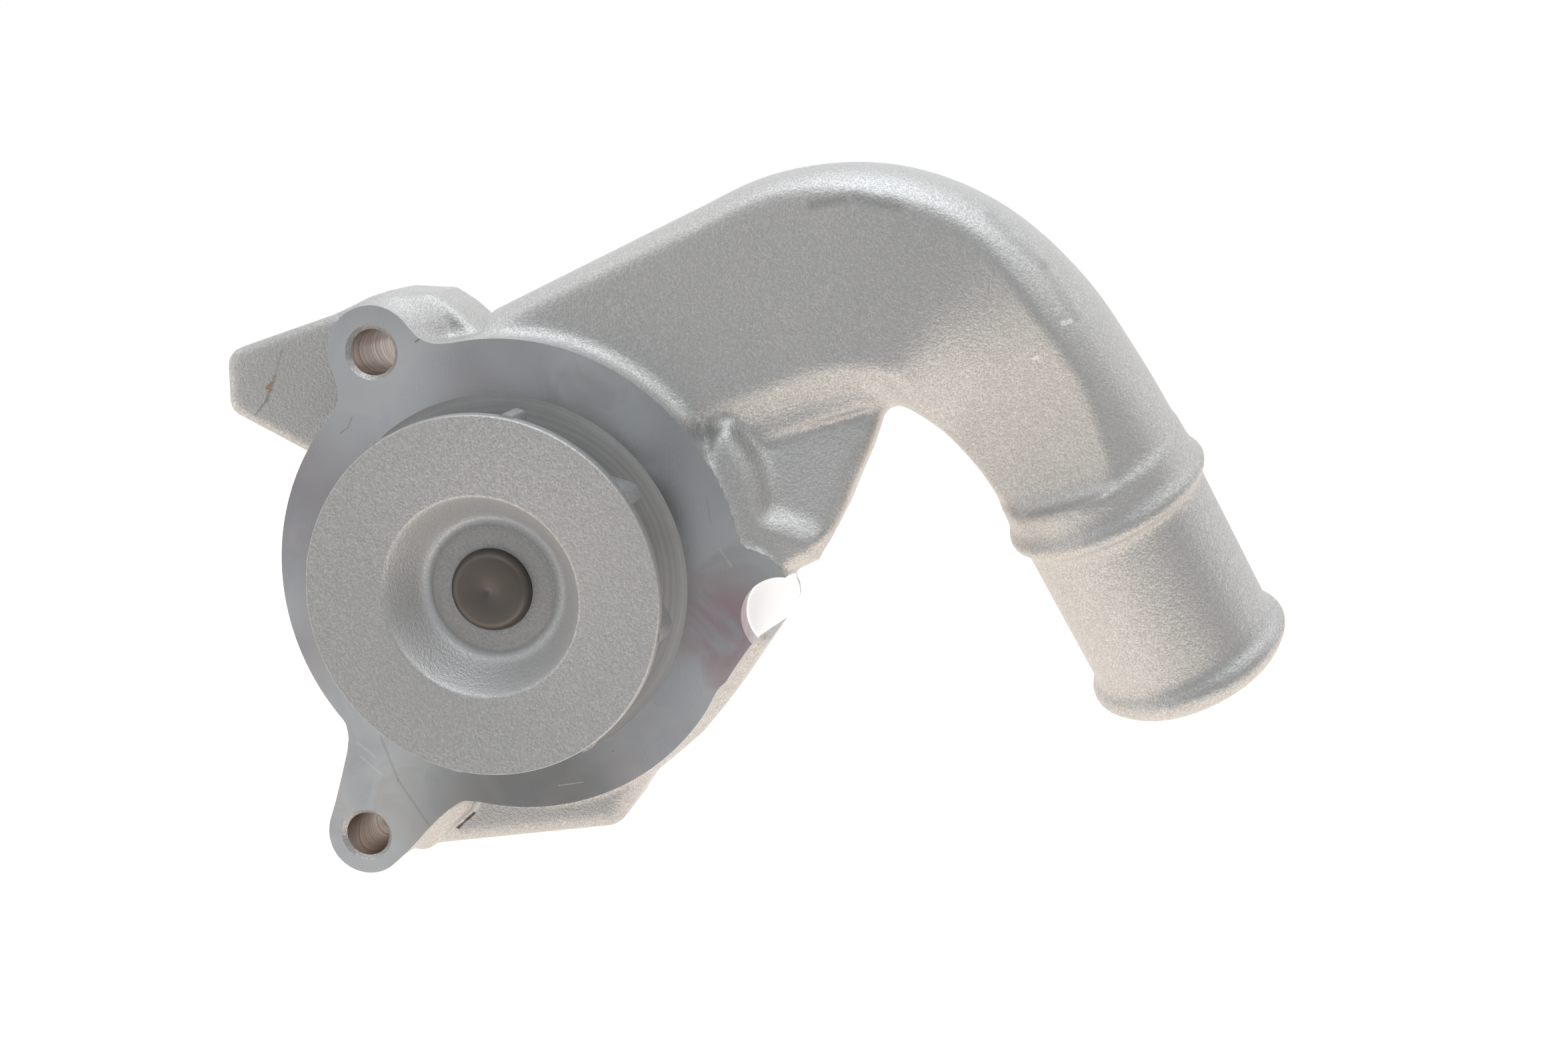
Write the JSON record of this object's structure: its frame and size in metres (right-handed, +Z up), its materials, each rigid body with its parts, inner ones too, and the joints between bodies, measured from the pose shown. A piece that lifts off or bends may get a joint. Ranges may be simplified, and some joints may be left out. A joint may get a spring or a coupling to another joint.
{
  "type": "engine water pump",
  "caption": "Cast aluminium engine water pump with a gooseneck hose inlet, a shrouded impeller in an open bore, two bolt lugs and a drive hub on the far end of its bearing shaft.",
  "frame": {"origin": "where the shaft's axis meets the plane of the machined mounting face", "axes": "-Y out of the mounting face towards the impeller, +Y along the shaft towards the drive hub, +Z up, with the inlet duct on the +X side"},
  "size_m": [0.2095, 0.111, 0.1422],
  "materials": {
    "cast_aluminium": "shot-blasted casting",
    "impeller_casting": "as cast",
    "ground_steel": "ground",
    "ball_steel": "polished",
    "pressed_steel": "satin",
    "hub_steel": "turned",
    "seal_rubber": "matt",
    "cage_nylon": "satin",
    "seal_carbon": "lapped",
    "seal_ceramic": "lapped"
  },
  "bodies": {
    "housing_body": {"housing": "cast_aluminium", "bearing_outer_ring": "ground_steel", "bearing_lip_seal_front": "seal_rubber", "bearing_lip_seal_rear": "seal_rubber", "seal_cup": "pressed_steel", "seal_bellows": "seal_rubber", "seal_spring": "pressed_steel", "spring_washer": "pressed_steel", "carbon_ring": "seal_carbon"},
    "rotor": {"shaft": "ground_steel", "impeller": "impeller_casting", "drive_hub": "hub_steel", "water_slinger": "pressed_steel", "seat_ring": "seal_ceramic", "seat_boot": "seal_rubber"},
    "cage_front": {"bearing_cage_front": "cage_nylon", "ball_front_1": "ball_steel", "ball_front_2": "ball_steel", "ball_front_3": "ball_steel", "ball_front_4": "ball_steel", "ball_front_5": "ball_steel", "ball_front_6": "ball_steel", "ball_front_7": "ball_steel", "ball_front_8": "ball_steel"},
    "cage_rear": {"bearing_cage_rear": "cage_nylon", "ball_rear_1": "ball_steel", "ball_rear_2": "ball_steel", "ball_rear_3": "ball_steel", "ball_rear_4": "ball_steel", "ball_rear_5": "ball_steel", "ball_rear_6": "ball_steel", "ball_rear_7": "ball_steel", "ball_rear_8": "ball_steel"}
  },
  "joints": [
    {"name": "rotor_spin", "type": "hinge", "parent": "housing_body", "child": "rotor", "pos_m": [0, 0, 0], "axis": [0, 1, 0], "continuous": true},
    {"name": "cage_front_spin", "type": "hinge", "parent": "housing_body", "child": "cage_front", "pos_m": [0, 0, 0], "axis": [0, 1, 0], "continuous": true},
    {"name": "cage_rear_spin", "type": "hinge", "parent": "housing_body", "child": "cage_rear", "pos_m": [0, 0, 0], "axis": [0, 1, 0], "continuous": true}
  ],
  "couplings": [
    {"joint": "cage_front_spin", "follows": "rotor_spin", "ratio": 0.3558},
    {"joint": "cage_rear_spin", "follows": "rotor_spin", "ratio": 0.3558}
  ]
}
